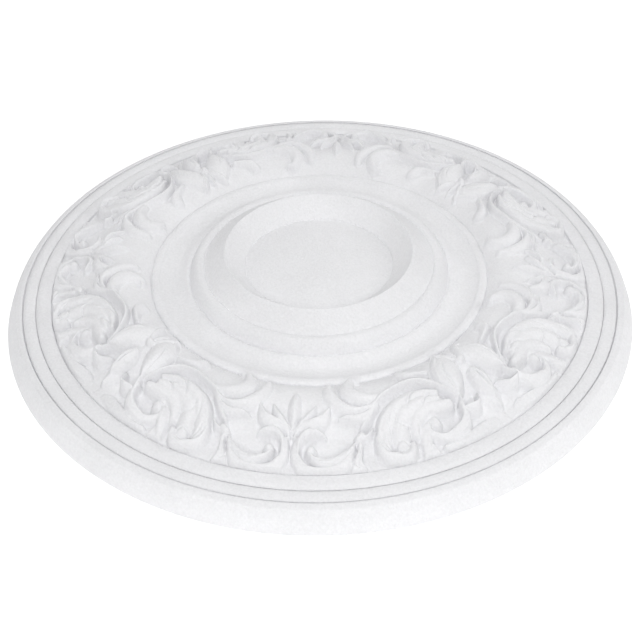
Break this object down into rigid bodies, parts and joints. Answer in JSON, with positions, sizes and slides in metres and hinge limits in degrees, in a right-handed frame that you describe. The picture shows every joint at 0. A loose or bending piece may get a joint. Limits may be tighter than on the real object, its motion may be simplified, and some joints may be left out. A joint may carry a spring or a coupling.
{
  "type": "ceiling rose",
  "caption": "Round moulded ceiling rose: stepped rim, frieze of palmettes, scrolls and leaves, beaded ring, cove and a raised boss with a dish in its middle.",
  "frame": {"origin": "centre of the flat back, where the rose meets the ceiling", "axes": "+Z out of the carved face, away from the ceiling; +Y from the middle towards one palmette"},
  "size_m": [0.7, 0.7, 0.0609],
  "materials": {
    "painted_moulding": "matt off-white primer over a fine-grained moulding"
  },
  "bodies": {
    "root": {"ceiling_rose": "painted_moulding"}
  },
  "joints": []
}
